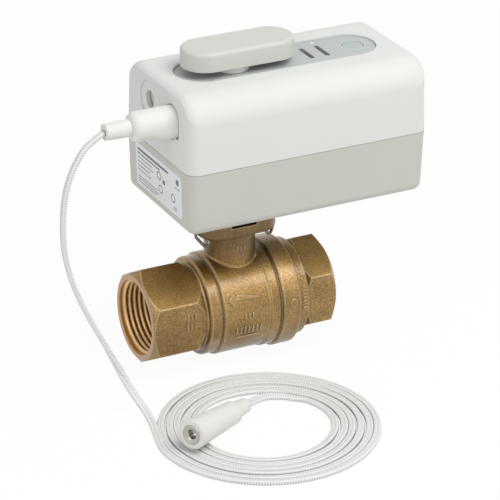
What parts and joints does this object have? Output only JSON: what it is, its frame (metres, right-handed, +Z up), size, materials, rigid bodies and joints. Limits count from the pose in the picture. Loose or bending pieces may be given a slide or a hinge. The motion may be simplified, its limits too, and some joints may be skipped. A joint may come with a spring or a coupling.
{
  "type": "smart water valve",
  "caption": "Motor-driven one inch ball valve for a water pipe, with a hand lever on its housing and a plug-in leak-sensor lead that ends in a female jack",
  "frame": {"origin": "centre of the left port's face, on the pipe's axis", "axes": "+X along the pipe, from the left port to the right one; +Z up, from the pipe to the actuator; -Y the front, where the lead lies"},
  "size_m": [0.1657, 0.1544, 0.1438],
  "materials": {
    "cast_brass": "cast, tumbled matt",
    "turned_brass": "machined",
    "chromed_brass": "polished",
    "ptfe": "smooth",
    "rubber": "matt",
    "white_shell": "fine satin moulding",
    "grey_shell": "fine satin moulding",
    "panel_grey": "fine satin moulding",
    "lever_grey": "satin moulding",
    "hub_white": "satin moulding",
    "gear_nylon": "smooth",
    "steel": "bright",
    "zinc_plate": "plated",
    "board": "lacquered laminate",
    "black_part": "moulded",
    "light_guide": "frosted",
    "lead_white": "soft satin moulding",
    "braid": "braided sleeve",
    "nickel": "satin plated"
  },
  "bodies": {
    "valve_and_box": {"valve_body": "cast_brass", "end_connector": "cast_brass", "ball_seats": "ptfe", "thrust_washer": "ptfe", "gland_packing": "ptfe", "gland_nut": "turned_brass", "body_seal": "rubber", "mounting_socket": "grey_shell", "lower_shell": "grey_shell", "upper_shell": "white_shell", "shell_seal": "rubber", "shell_screws": "steel", "top_panel": "panel_grey", "light_ring": "light_guide", "status_light": "light_guide", "shaft_bush": "gear_nylon", "shaft_seal": "rubber", "gear_motor": "steel", "gearbox_floor": "zinc_plate", "gearbox_cover": "zinc_plate", "gearbox_pillars": "steel", "gear_axles": "steel", "limit_switches": "black_part", "main_board": "board", "board_screws": "steel", "radio_module": "zinc_plate", "sounder": "black_part", "button_board": "board", "button_switch": "black_part", "power_jack": "black_part", "sensor_socket": "black_part", "lead_connector": "lead_white", "lead_sleeve": "lead_white", "lead_run": "braid", "lead_coil": "braid", "lead_tail": "braid", "jack_housing": "lead_white", "jack_sleeve": "lead_white", "jack_insert": "nickel"},
    "flow_ball": {"ball": "chromed_brass", "stem": "turned_brass", "stem_seals": "rubber"},
    "lever_drive": {"lever": "lever_grey", "lever_hub": "hub_white", "drive_shaft": "steel", "output_gear": "gear_nylon", "position_cam": "black_part"},
    "second_gear_body": {"second_gear": "gear_nylon"},
    "first_gear_body": {"first_gear": "gear_nylon"},
    "motor_rotor": {"motor_pinion": "turned_brass"},
    "button": {"push_button": "panel_grey"},
    "clip": {"retaining_clip": "steel"}
  },
  "joints": [
    {"name": "ball_turn", "type": "hinge", "parent": "valve_and_box", "child": "flow_ball", "pos_m": [0.045, 0, 0], "axis": [0, 0, 1], "range_deg": [-90, 0]},
    {"name": "lever_turn", "type": "hinge", "parent": "valve_and_box", "child": "lever_drive", "pos_m": [0.045, 0, 0.09], "axis": [0, 0, 1], "range_deg": [-90, 0]},
    {"name": "second_gear_turn", "type": "hinge", "parent": "valve_and_box", "child": "second_gear_body", "pos_m": [0.069, 0.01, 0.06], "axis": [0, 0, 1], "range_deg": [0, 300]},
    {"name": "first_gear_turn", "type": "hinge", "parent": "valve_and_box", "child": "first_gear_body", "pos_m": [0.08726, 0.00407, 0.06], "axis": [0, 0, 1], "range_deg": [-900, 0]},
    {"name": "motor_turn", "type": "hinge", "parent": "valve_and_box", "child": "motor_rotor", "pos_m": [0.10602, -0.00001, 0.06], "axis": [0, 0, 1], "range_deg": [0, 2700]},
    {"name": "button_press", "type": "slide", "parent": "valve_and_box", "child": "button", "axis": [0, 0, -1], "range_m": [0, 0.0008], "stiffness_N_per_m": 300, "springref_m": -0.0003},
    {"name": "clip_pull", "type": "slide", "parent": "valve_and_box", "child": "clip", "axis": [0, 1, 0], "range_m": [0, 0.024]}
  ],
  "couplings": [
    {"joint": "lever_turn", "follows": "ball_turn", "ratio": 1},
    {"joint": "second_gear_turn", "follows": "ball_turn", "ratio": -3.3333},
    {"joint": "first_gear_turn", "follows": "ball_turn", "ratio": 10},
    {"joint": "motor_turn", "follows": "ball_turn", "ratio": -30}
  ]
}
